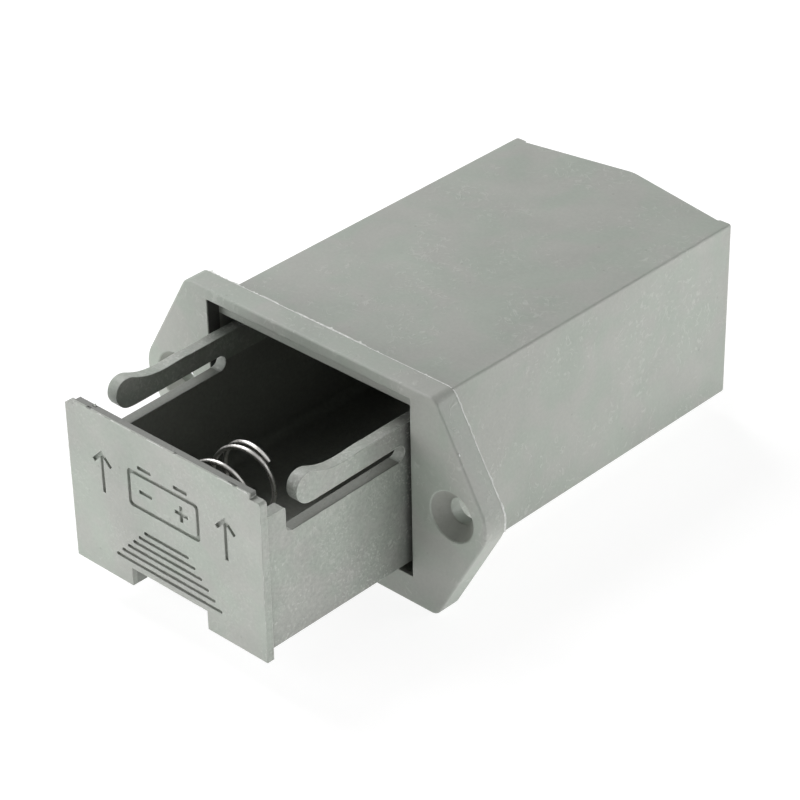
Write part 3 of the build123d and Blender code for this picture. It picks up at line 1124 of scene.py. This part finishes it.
@dataclass
class Studio:
    """Pale floor, soft lamps and the camera at the photo's viewpoint."""

    floor_z: float = -14.65
    floor_half: float = 3000.0
    floor_glow: float = 0.88
    floor_lit: float = 0.3
    floor_fill: float = 0.77
    floor_tone: float = 0.9
    floor_rough: float = 0.9
    world_level: float = 0.04
    lamps: tuple[Lamp, ...] = (
        Lamp("front_left", (-244.0, -413.0, 178.0), 1.13),
        Lamp("high_left", (-329.0, 68.0, 398.0), 1.9),
        Lamp("rear_right", (333.0, 407.0, 45.0), 1.43),
        Lamp("side_right", (470.0, 229.0, 45.0), 0.42),
    )
    camera_place: Point = (205.267, -201.891, 187.236)
    camera_right: Point = (0.728892, 0.684417, -0.017014)
    camera_up: Point = (-0.356810, 0.400971, 0.843747)
    focal_px: float = 2991.995
    image_px: float = 800.0
    sensor: float = 36.0
    near: float = 0.01
    far: float = 20.0

    def build_floor(self) -> None:
        """Lay the pale floor, white to the camera and with the object's faint shadow."""
        half = self.floor_half * MM
        work = bmesh.new()
        corners = [work.verts.new((x, y, self.floor_z * MM)) for x, y in
                   ((-half, -half), (half, -half), (half, half), (-half, half))]
        work.faces.new(corners)
        floor = link_object("floor", new_mesh("floor", work))
        material, graph, shader = start_material("pale_floor")
        graph.fill(shader, Base_Color=(self.floor_tone,) * 3 + (1.0,),
                   Roughness=self.floor_rough, Emission_Color=WHITE,
                   Emission_Strength=self.floor_fill)
        glow = graph.fill(graph.add("ShaderNodeEmission"), Color=WHITE,
                          Strength=self.floor_glow)
        lit = graph.fill(graph.add("ShaderNodeBsdfDiffuse"),
                         Color=(self.floor_lit,) * 3 + (1.0,))
        pale = graph.fill(graph.add("ShaderNodeAddShader"), glow.outputs[0], lit.outputs[0])
        output = next(n for n in graph.tree.nodes if n.type == "OUTPUT_MATERIAL")
        graph.fill(output, Surface=graph.by_view(shader.outputs["BSDF"], pale.outputs[0]))
        floor.data.materials.append(material)

    def build_world(self) -> None:
        """Light everything softly from a plain white surround."""
        world = bpy.data.worlds.new("surround")
        bpy.context.scene.world = world
        world.use_nodes = True
        world.node_tree.nodes.clear()
        graph = Graph(world.node_tree)
        soft, white = (graph.fill(graph.add("ShaderNodeBackground"), Color=WHITE,
                                  Strength=level).outputs[0]
                       for level in (self.world_level, 1.0))
        graph.fill(graph.add("ShaderNodeOutputWorld"), Surface=graph.by_view(soft, white))

    def build_camera(self) -> None:
        """Set the camera to the viewpoint worked out from the photo's straight edges."""
        data = bpy.data.cameras.new("photo_camera")
        data.sensor_width = self.sensor
        data.lens = self.focal_px / self.image_px * self.sensor
        data.clip_start, data.clip_end = self.near, self.far
        camera = link_object("photo_camera", data)
        right, up = Vector(self.camera_right), Vector(self.camera_up)
        turned = Matrix((right, up, right.cross(up))).transposed().to_4x4()
        camera.matrix_world = Matrix.Translation(Vector(self.camera_place) * MM) @ turned
        bpy.context.scene.camera = camera

    def build(self) -> None:
        """Build the floor, surround, lamps and camera."""
        self.build_floor()
        self.build_world()
        for lamp in self.lamps:
            lamp.build()
        self.build_camera()
        bpy.context.scene.view_settings.view_transform = "Standard"


def main() -> None:
    """Build the studio, dress every piece and log each one."""
    logging.basicConfig(level=logging.INFO, format="%(name)s: %(message)s")
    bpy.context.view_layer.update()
    Studio().build()
    for part in (Housing(), Drawer(), CoilSpring(), Contacts()):
        part.build()
        log.info("%s built", type(part).__name__)
    bpy.context.view_layer.update()


if __name__ == "__main__":
    main()
